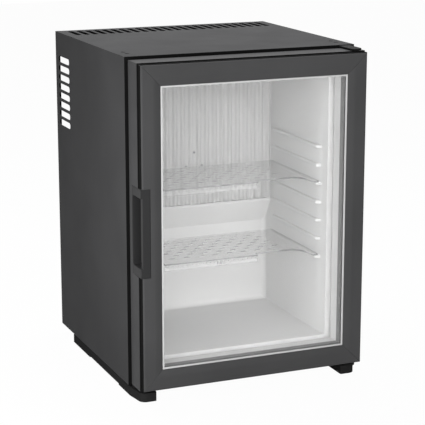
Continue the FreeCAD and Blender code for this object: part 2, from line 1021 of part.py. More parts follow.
def hinge_bolts():
    up = V(0, 0, 1)
    upper = [bolt(place, up, arm_sheet) for place in hinge_bolt_places(arm_low)]
    neck = lower_arm_sheet + steel_sheet
    lower = [bolt(place, up, neck) for place in hinge_bolt_places(lower_arm_low)]
    return Part.makeCompound(upper + lower)


def lower_hinge():
    plate = arm_plate(lower_arm_low, cabinet_base)
    for place in hinge_bolt_places(lower_arm_low):
        plate = plate.cut(bolt_hole(place, V(0, 0, 1), lower_arm_sheet))
    collar_top = rear_low - bush_flange - 2 * fit
    axis_low = V(pin_x, pin_y, cabinet_base)
    collar = rod(axis_low, V(pin_x, pin_y, collar_top), collar_radius)
    pin = rod(axis_low, V(pin_x, pin_y, rear_low + pin_engagement), pin_radius)
    return fuse([plate, collar, pin])


def hinge_bushes():
    return Part.makeCompound([bush(rear_high, V(0, 0, -1)), bush(rear_low, V(0, 0, 1))])


def bush(mouth, way):
    """A flanged bush whose body goes from the door's edge along way."""
    centre = V(pin_x, pin_y, mouth)
    body = rod(centre, centre + way * bush_depth, bush_radius)
    flange = rod(centre - way * bush_flange, centre, bush_flange_radius)
    start = centre - way * (bush_flange + overrun)
    bore = rod(start, centre + way * (bush_depth + overrun), pin_radius + pin_clearance)
    return body.fuse(flange).cut(bore)


# Cooling unit
def coil_front():
    return bay_front + coil_stand_off


def vessel_axis(x):
    return V(x, coil_front(), cabinet_base + vessel_height)


def absorber_vessel():
    return rod(vessel_axis(vessel_start), vessel_axis(vessel_end), vessel_radius)


def absorber_coil():
    """Two flat turns from the cold plug, and a drop into the vessel."""
    entry = plug_end - coil_entry_inset
    front = coil_front()
    rear = front + coil_spread
    bend_fall = (coil_pitch - coil_fall) / 2
    z = cabinet_top - coil_top
    points = [V(entry, bay_front + plug_thickness, z), V(entry, rear, z)]
    for turn in range(coil_turns):
        z -= coil_fall / 2
        points.append(V(coil_start, rear, z))
        z -= bend_fall
        points.append(V(coil_start, front, z))
        z -= coil_fall / 2
        if turn < coil_turns - 1:
            points.append(V(coil_end, front, z))
            z -= bend_fall
            points.append(V(coil_end, rear, z))
    drop = vessel_end - coil_drop_inset
    points.append(V(drop, front, z))
    points.append(vessel_axis(drop))
    return bent_tube(points, tube_radius, coil_bend).cut(absorber_vessel())


def can_axis(z):
    return V(can_x, bay_front + can_stand_off, z)


def can_body():
    low = cabinet_base + can_low
    return rod(can_axis(low), can_axis(low + can_height), can_radius)


def generator_can():
    top = cabinet_base + can_low + can_height
    lid = rod(can_axis(top), can_axis(top + can_lid_height), can_lid_radius)
    hole_radius = around(heater_radius)
    heater_hole = bar(heater_place(-overrun), heater_place(heater_depth + fit), hole_radius, round_sides)
    return can_body().fuse(lid).cut(heater_hole)


def around(radius):
    """The corner radius of a many-sided hole that clears a tube at its flats."""
    return (radius + fit) / math.cos(math.pi / round_sides)


def heater_place(up):
    return can_axis(cabinet_base + can_low + up) + V(heater_offset, 0, 0)


def heater_cartridge():
    tail_end = heater_place(-heater_tail_length)
    return bar(tail_end, heater_place(heater_depth), heater_radius, round_sides)


def condenser_height(x):
    """The condenser falls from the can towards the left, so that it drains."""
    high = cabinet_top - condenser_drop
    return high - condenser_fall * (can_x - x) / (can_x - condenser_end)


def condenser_tube():
    base = can_axis(cabinet_base + can_low + can_height + can_lid_height)
    low_end = condenser_height(condenser_end)
    points = [
        base,
        can_axis(condenser_height(can_x)),
        V(condenser_end, base.y, low_end),
        V(condenser_end, bay_front + plug_thickness, low_end),
    ]
    return bent_tube(points, condenser_radius, condenser_bend)


def condenser_fins():
    y = can_axis(0).y
    first = condenser_end + fin_left_gap
    last = can_x - fin_right_gap
    fins = []
    for n in range(fin_count):
        x = first + n * (last - first) / (fin_count - 1)
        z = condenser_height(x)
        plate = block(
            (x, x + fin_sheet),
            (y - fin_width / 2, y + fin_width / 2),
            (z - fin_height / 2, z + fin_height / 2),
        )
        ends = V(x - overrun, y, z), V(x + fin_sheet + overrun, y, z)
        fins.append(plate.cut(bar(*ends, around(condenser_radius), round_sides)))
    return Part.makeCompound(fins)


def heat_exchanger():
    """A tube within a wider jacket, from the vessel's end to the foot of the can."""
    start = vessel_axis(vessel_end)
    tube = bar(start, vessel_axis(can_x), exchanger_radius, round_sides)
    jacket = start + V(jacket_start, 0, 0)
    sleeve = bar(jacket, jacket + V(jacket_length, 0, 0), jacket_radius, round_sides)
    return fuse([tube, sleeve]).cut(can_body())


def evaporator_plug():
    top = cabinet_top - plug_top
    return block(
        (plug_start, plug_end),
        (bay_front, bay_front + plug_thickness),
        (top - plug_height, top),
    )


def coil_brackets():
    top = cabinet_top - coil_top
    brackets = []
    outer_y = coil_front() - tube_radius - fit
    for x in (-half_width + bracket_left, right_bracket):
        channel = block((x, x + bracket_width), (bay_front, outer_y), (top - bracket_height, top))
        inside = block(
            (x + bracket_sheet, x + bracket_width - bracket_sheet),
            (bay_front - overrun, outer_y - bracket_sheet),
            (top - bracket_height - overrun, top + overrun),
        )
        brackets.append(channel.cut(inside))
    return Part.makeCompound(brackets)


def saddle(centre, along, radius, across):
    """A bracket with two feet on the back of the fridge and a cradle for a cylinder."""
    half_length = along * (saddle_length / 2)
    shapes = []
    for width, rear in ((foot_length, bay_front + foot_plate), (saddle_width, centre.y)):
        low = centre - half_length - across * (width / 2)
        high = centre + half_length + across * (width / 2)
        shapes.append(block((low.x, high.x), (bay_front, rear), (low.z, high.z)))
    far = along * (saddle_length + overrun)
    solid = fuse(shapes).cut(rod(centre - far, centre + far, radius + fit))
    for seat in saddle_screw_seats(centre, across):
        solid = solid.cut(bolt_hole(seat, V(0, -1, 0), foot_plate))
    return solid


def saddle_centres():
    on_can = can_axis(cabinet_base + can_low + can_saddle_height)
    return on_can, vessel_axis(vessel_start + vessel_saddle_inset)


def saddle_screw_seats(centre, across):
    reach = foot_length / 2 - bolt_radius - foot_screw_margin
    middle = V(centre.x, bay_front + foot_plate, centre.z)
    return [middle - across * reach, middle + across * reach]


# Control box
def box_corner():
    return V(-half_width + box_left, bay_front, cabinet_base + box_low)


def control_box():
    corner = box_corner()
    x = (corner.x, corner.x + box_width)
    z = (corner.z, corner.z + box_height)
    tray = block(x, (corner.y, corner.y + box_depth), z)
    inside = block(
        (x[0] + box_wall, x[1] - box_wall),
        (corner.y + box_wall, corner.y + box_depth + overrun),
        (z[0] + box_wall, z[1] - box_wall),
    )
    return tray.cut(inside).cut(gland_hole())


def control_lid():
    corner = box_corner()
    y = corner.y + box_depth
    x = (corner.x, corner.x + box_width)
    return block(x, (y, y + box_lid), (corner.z, corner.z + box_height))


def gland_seat():
    corner = box_corner()
    return V(corner.x + gland_inset, corner.y + box_depth / 2, corner.z)


def gland_hole():
    low = gland_seat() - V(0, 0, gland_length + overrun)
    return bar(low, gland_seat() + V(0, 0, box_wall + overrun), gland_bore, round_sides)


def cord_gland():
    return bar(gland_seat() - V(0, 0, gland_length), gland_seat(), gland_radius, 6).cut(gland_hole())


def unit_screws():
    on_can, on_vessel = saddle_centres()
    seats = saddle_screw_seats(on_can, V(1, 0, 0)) + saddle_screw_seats(on_vessel, V(0, 0, 1))
    return Part.makeCompound([bolt(seat, V(0, -1, 0), foot_plate) for seat in seats])


def all_pieces():
    on_can, on_vessel = saddle_centres()
    pieces = {
        "side_panel_left": side_panel(-1),
        "side_panel_right": side_panel_right(),
        "top_panel": top_panel(),
        "base_pan": base_pan(),
        "rear_panel": rear_panel(),
        "rear_brace": rear_brace(),
        "insulation_foam": insulation_foam(),
        "inner_liner": inner_liner(),
        "cooling_cover": cooling_cover(),
        "cover_screws": cover_screws(),
        "shelf_upper": shelf(upper_shelf_step_count),
        "shelf_lower": shelf(lower_shelf_step_count),
        "foot_rail_left": foot_rail(-1),
        "foot_rail_right": foot_rail(1),
        "rail_screws": rail_screws(),
        "upper_hinge": upper_hinge(),
        "lower_hinge": lower_hinge(),
        "hinge_bolts": hinge_bolts(),
        "slot_plugs": slot_plugs(),
        "inner_door_trim": inner_door_trim(),
        "front_pane": glass_pane(pane_depth),
        "rear_pane": glass_pane(pane_depth + pane + spacer_depth),
        "glass_spacer": glass_spacer(),
        "glazing_bead": glazing_bead(),
        "door_gasket": door_gasket(),
        "magnet_strips": magnet_strips(),
        "finger_pull": finger_pull(),
        "hinge_bushes": hinge_bushes(),
        "absorber_coil": absorber_coil(),
        "absorber_vessel": absorber_vessel(),
        "generator_can": generator_can(),
        "heater_cartridge": heater_cartridge(),
        "condenser_tube": condenser_tube(),
        "condenser_fins": condenser_fins(),
        "heat_exchanger": heat_exchanger(),
        "evaporator_plug": evaporator_plug(),
        "coil_brackets": coil_brackets(),
        "generator_bracket": saddle(on_can, V(0, 0, 1), can_radius, V(1, 0, 0)),
        "vessel_bracket": saddle(on_vessel, V(1, 0, 0), vessel_radius, V(0, 0, 1)),
        "control_box": control_box(),
        "control_lid": control_lid(),
        "cord_gland": cord_gland(),
        "unit_screws": unit_screws(),
    }
    for side in ("top", "bottom", "left", "right"):
        pieces["door_front_" + side] = front_member(side)
        pieces["door_rear_" + side] = rear_member(side)
    return pieces


os.makedirs("parts", exist_ok=True)
for name, shape in all_pieces().items():
    shape.exportStep("parts/" + name + ".step")
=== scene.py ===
import json
import math

import bmesh
import bpy
from mathutils import Matrix, Vector
from mathutils.geometry import interpolate_bezier


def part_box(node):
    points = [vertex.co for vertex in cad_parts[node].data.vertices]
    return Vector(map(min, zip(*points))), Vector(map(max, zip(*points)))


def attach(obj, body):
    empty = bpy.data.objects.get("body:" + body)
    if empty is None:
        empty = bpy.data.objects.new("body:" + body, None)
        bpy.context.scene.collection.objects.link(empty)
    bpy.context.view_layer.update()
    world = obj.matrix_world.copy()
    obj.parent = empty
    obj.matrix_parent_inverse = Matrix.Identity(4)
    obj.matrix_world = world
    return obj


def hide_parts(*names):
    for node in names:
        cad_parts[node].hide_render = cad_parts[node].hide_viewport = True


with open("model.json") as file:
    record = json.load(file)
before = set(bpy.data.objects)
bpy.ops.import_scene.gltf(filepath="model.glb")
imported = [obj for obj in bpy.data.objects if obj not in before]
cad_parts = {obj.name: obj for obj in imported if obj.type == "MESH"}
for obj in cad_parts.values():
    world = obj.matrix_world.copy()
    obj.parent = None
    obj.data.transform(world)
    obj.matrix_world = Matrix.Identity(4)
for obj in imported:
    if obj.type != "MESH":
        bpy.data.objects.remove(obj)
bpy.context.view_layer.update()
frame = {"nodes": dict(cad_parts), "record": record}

# Units and directions
MM = 0.001
ALONG_X = Vector((1.0, 0.0, 0.0))
ALONG_Y = Vector((0.0, 1.0, 0.0))
ALONG_Z = Vector((0.0, 0.0, 1.0))

# How meshes are merged and divided: lengths in metres, and NEAR in millimetres
WELD = 1e-6
NEAR = 0.01
HALF_UNIT = 0.5
FLAT_ANGLE = math.radians(0.5)
SHARP_ANGLE = math.radians(28)
TUBE_SIDES = 24
TURNED_SIDES = 48
BEND_STEPS = 8
ARC_STEPS = 5

# Cosines: an edge that runs along a way, one that crosses it, and a face that looks along it
ALONGSIDE = 0.99
CROSSWISE = 0.9
FACING = 0.8

# Finishes, as linear colours
CASING_BLACK = (0.045, 0.045, 0.046)
DOOR_GREY = (0.050, 0.050, 0.051)
CORE_GREY = (0.036, 0.036, 0.037)
PULL_GREY = (0.024, 0.024, 0.0245)
LINER_WHITE = (0.62, 0.62, 0.617)
COVER_WHITE = (0.47, 0.47, 0.467)
BEAD_GREY = (0.5, 0.5, 0.5)
SPACER_DARK = (0.13, 0.13, 0.13)
RAIL_BLACK = (0.020, 0.020, 0.020)
RUBBER_BLACK = (0.008, 0.008, 0.008)
HINGE_BLACK = (0.014, 0.014, 0.014)
TUBE_BLACK = (0.012, 0.012, 0.012)
ZINC = (0.56, 0.57, 0.58)
FIN_DULL = (0.62, 0.62, 0.63)
FIN_BRIGHT = (0.78, 0.78, 0.79)
FOAM_CREAM = (0.72, 0.60, 0.36)
BEAD_FOAM = (0.80, 0.80, 0.77)
MAGNET_BROWN = (0.05, 0.042, 0.036)
GLASS_CLEAR = (0.99, 0.99, 0.99)
GLASS_SHADOW = (0.97, 0.97, 0.97)
SHELF_CLEAR = (0.96, 0.96, 0.96)
SHELF_SHADOW = (0.9, 0.9, 0.9)

# How finishes vary: noise levels used, shares of the colour, and steps of roughness
NOISE_SPAN = (0.3, 0.7)
PAINT_TONE_SHARES = (0.9, 1.1)
PAINT_GLOSS_STEPS = (-0.04, 0.05)
PLASTIC_TONE_SHARES = (0.96, 1.03)
PLASTIC_GLOSS_STEPS = (-0.05, 0.05)
SPANGLE_DARK_SHARE = 0.82
PLATED_SHARES = (0.3, 0.45)
FOAM_DARK_SHARE = 0.8

# Painted steel: colour, roughness, grain of the orange peel per metre, refractive index
PAINTS = {
    "casing_paint": (CASING_BLACK, 0.5, 900.0, 1.045),
    "hinge_paint": (HINGE_BLACK, 0.4, 900.0, 1.06),
    "unit_paint": (TUBE_BLACK, 0.4, 500.0, 1.4),
    "door_face": (DOOR_GREY, 0.5, 1000.0, 1.2),
}

# Plastic and rubber: colour, roughness, grain per metre and its depth in millimetres, refractive index
PLASTICS = {
    "liner_white": (LINER_WHITE, 0.55, 260.0, 0.04, 1.14),
    "cover_white": (COVER_WHITE, 0.55, 420.0, 0.04, 1.3),
    "rail_plastic": (RAIL_BLACK, 0.5, 1100.0, 0.08, 1.02),
    "spacer_dark": (SPACER_DARK, 0.5, 500.0, 0.04, 1.46),
    "bead_grey": (BEAD_GREY, 0.3, 300.0, 0.01, 1.46),
    "gasket_rubber": (RUBBER_BLACK, 0.7, 700.0, 0.04, 1.05),
    "magnet": (MAGNET_BROWN, 0.7, 800.0, 0.04, 1.46),
    "pull_plastic": (PULL_GREY, 0.5, 1300.0, 0.05, 1.15),
    "bush_nylon": (RUBBER_BLACK, 0.5, 500.0, 0.02, 1.1),
    "box_plastic": (RAIL_BLACK, 0.45, 1200.0, 0.06, 1.46),
    "gland_plastic": (RAIL_BLACK, 0.5, 900.0, 0.04, 1.46),
    "door_core": (CORE_GREY, 0.5, 1200.0, 0.04, 1.15),
    # Painted shade: a matt black for faces that look into gaps and grooves, where shade falls
    "front_hem": (RUBBER_BLACK, 0.7, 700.0, 0.03, 1.03),
}

# Foam: colour, cells per metre
FOAMS = {
    "foam": (FOAM_CREAM, 420.0),
    "foam_plug": (BEAD_FOAM, 260.0),
}

# Rounding of edges, in millimetres
SOFT_EDGES = {
    "rear_brace": 0.5, "foot_rail_left": 1.0, "foot_rail_right": 1.0,
    "upper_hinge": 0.5, "lower_hinge": 0.5, "hinge_bolts": 0.3, "rail_screws": 0.3, "unit_screws": 0.3,
    "inner_door_trim": 0.8, "glazing_bead": 0.8, "finger_pull": 0.8, "slot_plugs": 0.2,
    "control_box": 0.6, "control_lid": 1.0, "cord_gland": 0.8, "evaporator_plug": 2.0,
    "coil_brackets": 0.5, "generator_bracket": 0.8, "vessel_bracket": 0.8,
}
PANEL_EDGE = 0.3
LINER_EDGE = 0.6
COVER_EDGE = 1.3
SHELF_EDGE = 0.35
DOOR_FACE_EDGE = 0.4
DOOR_CORE_EDGE = 1.1
MITRE_EDGE = 0.35

# Door members: side, way they run, way they look out of the door
DOOR_MEMBERS = (
    ("top", ALONG_X, ALONG_Z),
    ("bottom", ALONG_X, -ALONG_Z),
    ("left", ALONG_Z, -ALONG_X),
    ("right", ALONG_Z, ALONG_X),
)

# Slotted sheet panels, in millimetres: an edge up to the slack share of the sheet crosses it
SHEET = 0.8
SHEET_SLACK_SHARE = 1.05
SLOT_CORNER = 1.7

# Shelf ledges of the liner, in millimetres: the zone that holds them, as (y, z)
LEDGE_ZONE_LOW = (-140.0, 186.0)
LEDGE_ZONE_HIGH = (50.0, 390.0)
LEDGE_CREST = 145.5
LEDGE_ROUNDING = 2.2

# Shelves, in millimetres
SHELF_SHEET = 3.0
SHELF_REACH = 156.0
SHELF_SET_BACK = 12.0
SHELF_ARM_ROOT = 26.0
SHELF_ARM_TIP = 8.5
SHELF_BOW_SHARES = (0.74, 0.22)
SHELF_BOW_POINTS = 9
SHELF_LIP = (-115.0, 52.0)
SHELF_LIP_DROP = 12.0
SHELF_SLOT = (9.0, 4.6)
SHELF_SLOT_PITCH = (26.0, 16.0)
SHELF_SLOT_COLUMNS = 8
SHELF_SLOT_ROWS = 8
SHELF_SLOT_MARGIN = 14.0
LIP_SLOT = (4.4, 2.8)
LIP_SLOT_DROP = 5.0
LIP_SLOT_PITCH = 7.6
LIP_GROUP_PITCH = 25.0
LIP_GROUPS = 7

# Door gasket, in millimetres: (across, depth) from its inner edge and the door's back
GASKET_INSET = 7.0
GASKET_PROFILE = (
    (5.7, -5.0), (8.3, -5.0), (8.3, 0.0), (13.0, 0.0), (14.0, 0.8), (12.4, 1.8), (14.0, 3.0), (14.0, 5.2),
    (13.5, 5.7), (0.5, 5.7), (0.0, 5.2), (0.0, 3.0), (1.6, 1.8), (0.0, 0.8), (1.0, 0.0), (5.7, 0.0),
)
BEAD_GAP = 0.1

# Screws in the cooling cover, in millimetres: the head as (radius, height)
PAN_HEAD = ((0.0, 0.0), (2.4, 0.0), (2.4, 0.4), (2.1, 0.95), (1.4, 1.3), (0.0, 1.4))
PAN_HEAD_RADIUS = PAN_HEAD[1][0]
PAN_HEAD_RIM = PAN_HEAD[2][1]
CROSS_REACH = 1.3
CROSS_WIDTH = 0.36
CROSS_DEPTH = 0.5

# Cooling unit, in millimetres
COIL_RADIUS = 7.0
COIL_BEND = 19.0
COIL_ROUTE = (
    (22.0, 132.4, 472.0), (22.0, 193.4, 472.0), (-178.0, 193.4, 468.5), (-178.0, 150.4, 451.0),
    (62.0, 150.4, 447.5), (62.0, 193.4, 430.0), (-178.0, 193.4, 426.5), (-178.0, 150.4, 409.0),
    (-12.0, 150.4, 405.5), (-12.0, 150.4, 95.0),
)
CONDENSER_RADIUS = 6.0
CONDENSER_BEND = 16.0
CONDENSER_ROUTE = (
    (120.0, 165.4, 336.0), (120.0, 165.4, 514.0), (-110.0, 165.4, 505.0), (-110.0, 132.4, 505.0),
)
FIN_FIRST = -94.0
FIN_PITCH = 14.0
FIN_COUNT = 12
FIN_SIZE = (50.0, 42.0)
FIN_SHEET = 0.6
FIN_CORNER = 5.0
FIN_CORNER_STEPS = 4
FIN_COLLAR = ((6.05, 0.0), (9.0, 0.0), (7.6, 0.6), (7.2, 2.6), (6.05, 2.6), (6.05, 0.0))
VESSEL_CORNER = 7.0
VESSEL_WELD_INSET = 3.0
VESSEL_WELD_HALF = 1.5
VESSEL_WELD_RISE = 0.7
CAN_LIP = 0.7
CAN_LIP_HEIGHT = 6.0
CAN_CORNER = 1.2
CAN_LID_RADIUS = 24.0
CAN_LID_HEIGHT = 6.0
HEATER_NECK_SHARE = 0.62
HEATER_NECK = 2.6
HEATER_SHOULDER = 3.2
HEATER_TIP = 1.0
EXCHANGER_RADIUS = 6.0
EXCHANGER_END = 99.0
JACKET_RADIUS = 9.0
JACKET_SPAN = (8.0, 46.0)
JACKET_TAPER = 4.0

# Camera, in metres, fitted to the corners of the fridge in the photograph
CAMERA_AZIMUTH = math.radians(-22.64)
CAMERA_ELEVATION = math.radians(13.54)
CAMERA_PLACE = Vector((-0.9857, -2.3908, 0.8771))
CAMERA_LENS = 130.4
SENSOR = 36.0

# Lamps: place, point that they face, side of the square in metres, watts
FRIDGE_MIDDLE = (0.0, 0.0, 0.28)
LAMPS = {
    "side_lamp": ((-0.6, -0.36, 0.36), (0.0, -0.2, 0.3), 0.4, 2.8),
    "left_lamp": ((-1.7, -2.4, 0.8), FRIDGE_MIDDLE, 1.2, 22.0),
    "front_lamp": ((-0.2, -3.0, 0.85), FRIDGE_MIDDLE, 2.0, 54.0),
    "top_lamp": ((0.0, 0.6, 2.4), FRIDGE_MIDDLE, 1.4, 84.0),
}
UNMIRRORED_LAMPS = ("side_lamp",)

# Studio: strength of the white room as light and as seen, and the floor
ROOM_LIGHT = 0.08
ROOM_SEEN = 1.0
FLOOR_GREY = (0.5, 0.5, 0.5)
FLOOR_HALF = 6.0
FLOOR_ROUGHNESS = 0.9
FLOOR_GLOW_SHARE = 0.975


# Finishes
def node_graph(name):
    """A new material with its node tree and its Principled shader."""
    material = bpy.data.materials.new(name)
    material.use_nodes = True
    tree = material.node_tree
    return material, tree, tree.nodes["Principled BSDF"]


def opaque(colour):
    return (*colour, 1.0)


def dimmed(colour, share):
    return tuple(channel * share for channel in colour)


def object_point(tree):
    return tree.nodes.new("ShaderNodeTexCoord").outputs["Object"]


def stretched_point(tree, scale):
    mapping = tree.nodes.new("ShaderNodeMapping")
    mapping.inputs["Scale"].default_value = scale
    tree.links.new(object_point(tree), mapping.inputs["Vector"])
    return mapping.outputs["Vector"]


def noise(tree, scale, detail=2.0, point=None):
    texture = tree.nodes.new("ShaderNodeTexNoise")
    texture.inputs["Scale"].default_value = scale
    texture.inputs["Detail"].default_value = detail
    tree.links.new(point or object_point(tree), texture.inputs["Vector"])
    return texture.outputs["Fac"]


def cells(tree, scale):
    texture = tree.nodes.new("ShaderNodeTexVoronoi")
    texture.inputs["Scale"].default_value = scale
    tree.links.new(object_point(tree), texture.inputs["Vector"])
    return texture


def shift_range(tree, value, low, high):
    """A noise value spread between two levels."""
    spread = tree.nodes.new("ShaderNodeMapRange")
    spread.inputs["From Min"].default_value = NOISE_SPAN[0]
    spread.inputs["From Max"].default_value = NOISE_SPAN[1]
    spread.inputs["To Min"].default_value = low
    spread.inputs["To Max"].default_value = high
    tree.links.new(value, spread.inputs["Value"])
    return spread.outputs["Result"]


def shade(tree, value, dark, light):
    """A colour between two, by a noise value."""
    ramp = tree.nodes.new("ShaderNodeValToRGB")
    for stop, place, colour in zip(ramp.color_ramp.elements, NOISE_SPAN, (dark, light)):
        stop.position = place
        stop.color = opaque(colour)
    tree.links.new(value, ramp.inputs["Fac"])
    return ramp.outputs["Color"]


def relief(tree, shader, height, depth_mm, strength):
    bump = tree.nodes.new("ShaderNodeBump")
    bump.inputs["Strength"].default_value = strength
    bump.inputs["Distance"].default_value = depth_mm * MM
    tree.links.new(height, bump.inputs["Height"])
    tree.links.new(bump.outputs["Normal"], shader.inputs["Normal"])


def varied(tree, shader, tone, shares, colour, gloss, steps, roughness):
    """Spreads a colour and a roughness a little, each by a noise value of its own."""
    dark, light = (dimmed(colour, share) for share in shares)
    tree.links.new(shade(tree, tone, dark, light), shader.inputs["Base Color"])
    low, high = (roughness + step for step in steps)
    tree.links.new(shift_range(tree, gloss, low, high), shader.inputs["Roughness"])


def powder_paint(name, colour, roughness, grain, ior):
    """Satin paint: a fine orange peel, and slow changes of tone and gloss."""
    material, tree, shader = node_graph(name)
    tone = noise(tree, scale=6.0, detail=3.0)
    gloss = noise(tree, scale=14.0, detail=4.0)
    varied(tree, shader, tone, PAINT_TONE_SHARES, colour, gloss, PAINT_GLOSS_STEPS, roughness)
    relief(tree, shader, noise(tree, grain), depth_mm=0.05, strength=0.35)
    shader.inputs["IOR"].default_value = ior
    return material


def moulded_plastic(name, colour, roughness, grain, depth_mm, ior):
    """Plastic or rubber: the fine grain of its mould, and slow changes of tone and gloss."""
    material, tree, shader = node_graph(name)
    tone = noise(tree, scale=9.0, detail=3.0)
    gloss = noise(tree, scale=22.0, detail=3.0)
    varied(tree, shader, tone, PLASTIC_TONE_SHARES, colour, gloss, PLASTIC_GLOSS_STEPS, roughness)
    relief(tree, shader, noise(tree, grain, detail=3.0), depth_mm, strength=0.4)
    shader.inputs["IOR"].default_value = ior
    return material


def zinc_sheet(name):
    """Zinc coated steel with its spangle."""
    material, tree, shader = node_graph(name)
    grey = tree.nodes.new("ShaderNodeRGBToBW")
    tree.links.new(cells(tree, scale=140.0).outputs["Color"], grey.inputs["Color"])
    spangle = grey.outputs["Val"]
    tone = shade(tree, spangle, dimmed(ZINC, SPANGLE_DARK_SHARE), ZINC)
    tree.links.new(tone, shader.inputs["Base Color"])
    tree.links.new(shift_range(tree, spangle, low=0.34, high=0.5), shader.inputs["Roughness"])
    shader.inputs["Metallic"].default_value = 0.85
    return material


def plated_steel(name):
    """Plated screws, dulled a little and unevenly."""
    material, tree, shader = node_graph(name)
    dark, light = (dimmed(ZINC, share) for share in PLATED_SHARES)
    tree.links.new(shade(tree, noise(tree, scale=90.0), dark, light), shader.inputs["Base Color"])
    gloss = shift_range(tree, noise(tree, scale=300.0), low=0.24, high=0.42)
    tree.links.new(gloss, shader.inputs["Roughness"])
    shader.inputs["Metallic"].default_value = 1.0
    return material


def fin_aluminium(name):
    """Rolled aluminium, with fine lines along its height."""
    material, tree, shader = node_graph(name)
    point = stretched_point(tree, scale=(1.0, 1.0, 14.0))
    brushed = noise(tree, scale=60.0, detail=3.0, point=point)
    tree.links.new(shade(tree, brushed, FIN_DULL, FIN_BRIGHT), shader.inputs["Base Color"])
    tree.links.new(shift_range(tree, brushed, low=0.28, high=0.44), shader.inputs["Roughness"])
    shader.inputs["Metallic"].default_value = 1.0
    return material


def lit_through(tree, shader, tint):
    """Lets lamps shine through a clear piece, so that what lies behind it is lit."""
    path = tree.nodes.new("ShaderNodeLightPath")
    through = tree.nodes.new("ShaderNodeBsdfTransparent")
    through.inputs["Color"].default_value = opaque(tint)
    mix = tree.nodes.new("ShaderNodeMixShader")
    tree.links.new(path.outputs["Is Shadow Ray"], mix.inputs["Fac"])
    tree.links.new(shader.outputs["BSDF"], mix.inputs[1])
    tree.links.new(through.outputs["BSDF"], mix.inputs[2])
    tree.links.new(mix.outputs["Shader"], tree.nodes["Material Output"].inputs["Surface"])


def pane_glass(name):
    """Clear float glass, with the faint unevenness of a wiped pane."""
    material, tree, shader = node_graph(name)
    shader.inputs["Base Color"].default_value = opaque(GLASS_CLEAR)
    wiped = shift_range(tree, noise(tree, scale=9.0, detail=3.0), low=0.0, high=0.012)
    tree.links.new(wiped, shader.inputs["Roughness"])
    shader.inputs["IOR"].default_value = 1.45
    shader.inputs["Transmission Weight"].default_value = 1.0
    lit_through(tree, shader, GLASS_SHADOW)
    return material


def shelf_plastic(name):
    """Clear moulded plastic with a faint haze."""
    material, tree, shader = node_graph(name)
    shader.inputs["Base Color"].default_value = opaque(SHELF_CLEAR)
    haze = shift_range(tree, noise(tree, scale=45.0, detail=3.0), low=0.04, high=0.1)
    tree.links.new(haze, shader.inputs["Roughness"])
    relief(tree, shader, noise(tree, scale=70.0), depth_mm=0.05, strength=0.2)
    shader.inputs["IOR"].default_value = 1.27
    shader.inputs["Transmission Weight"].default_value = 0.9
    lit_through(tree, shader, SHELF_SHADOW)
    return material


def blown_foam(name, colour, scale):
    """Foam with its cells, darker between them."""
    material, tree, shader = node_graph(name)
    depth = cells(tree, scale).outputs["Distance"]
    tone = shade(tree, depth, colour, dimmed(colour, FOAM_DARK_SHARE))
    tree.links.new(tone, shader.inputs["Base Color"])
    relief(tree, shader, depth, depth_mm=0.4, strength=0.5)
    shader.inputs["Roughness"].default_value = 0.85
    return material


def all_finishes():
    """A material for each slot of the record, and the matt black that paints shade on faces looking into
    gaps and grooves.
    """
    finishes = {
        "galvanised_sheet": zinc_sheet("galvanised_sheet"),
        "fastener_steel": plated_steel("fastener_steel"),
        "fin_metal": fin_aluminium("fin_metal"),
        "pane_glass": pane_glass("pane_glass"),
        "shelf_clear": shelf_plastic("shelf_clear"),
    }
    for table, finish in ((PAINTS, powder_paint), (PLASTICS, moulded_plastic), (FOAMS, blown_foam)):
        for name, facts in table.items():
            finishes[name] = finish(name, *facts)
    return finishes


FINISHES = all_finishes()
SLOT_OF = {part["node"]: part["material_slot"] for part in frame["record"]["subparts"]}
BODY_OF = {
    node: body for body, nodes in frame["record"]["behaviour"]["bodies"].items() for node in nodes
}


def dress_nodes():
    for node, thing in frame["nodes"].items():
        thing.data.materials.clear()
        thing.data.materials.append(FINISHES[SLOT_OF[node]])


# Pieces
def link_object(name, data):
    thing = bpy.data.objects.new(name, data)
    bpy.context.scene.collection.objects.link(thing)
    return thing


def mesh_of(bm, name):
    """The mesh of a bmesh, which it uses up."""
    mesh = bpy.data.meshes.new(name)
    bm.to_mesh(mesh)
    bm.free()
    return mesh


def add_piece(bm, name, node):
    """Turns a bmesh into a piece that stands for a CAD node and rides with its body."""
    bmesh.ops.recalc_face_normals(bm, faces=bm.faces)
    mesh = mesh_of(bm, name)
    mesh.polygons.foreach_set("use_smooth", [True] * len(mesh.polygons))
    mesh.set_sharp_from_angle(angle=SHARP_ANGLE)
    mesh.materials.append(FINISHES[SLOT_OF[node]])
    piece = link_object(name, mesh)
    even = piece.modifiers.new("even_shading", "WEIGHTED_NORMAL")
    even.keep_sharp = True
    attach(piece, BODY_OF[node])
    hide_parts(node)
    return piece


def box_mm(node):
    """A node's lowest and highest corners, in millimetres."""
    low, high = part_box(node)
    return Vector(low) / MM, Vector(high) / MM


def parts_of(geometry, kind):
    return [item for item in geometry if isinstance(item, kind)]


def each_once(items):
    """The items without repeats, in their own order."""
    return list(dict.fromkeys(items))


# Softened copies of the CAD nodes
def merged_copy(node):
    """A bmesh of a CAD node, its triangles joined into flat faces."""
    bm = bmesh.new()
    bm.from_mesh(frame["nodes"][node].data)
    bmesh.ops.remove_doubles(bm, verts=bm.verts, dist=WELD)
    bmesh.ops.dissolve_limit(bm, angle_limit=FLAT_ANGLE, verts=bm.verts, edges=bm.edges)
    return bm


def lined_up(edge, way):
    """How well an edge runs along a direction, from 0 to 1."""
    return abs((edge.verts[1].co - edge.verts[0].co).normalized().dot(way))


def round_edges(bm, width_mm, segments, chosen=None):
    """Rounds the edges that are sharper than the smooth ones, or those of them that a test picks."""
    edges = [
        edge for edge in bm.edges
        if edge.is_manifold and edge.calc_face_angle(0.0) > SHARP_ANGLE and (not chosen or chosen(edge))
    ]
    bmesh.ops.bevel(
        bm, geom=edges, offset=width_mm * MM, offset_type="OFFSET", segments=segments, profile=0.5,
        affect="EDGES", clamp_overlap=True, material=-1,
    )


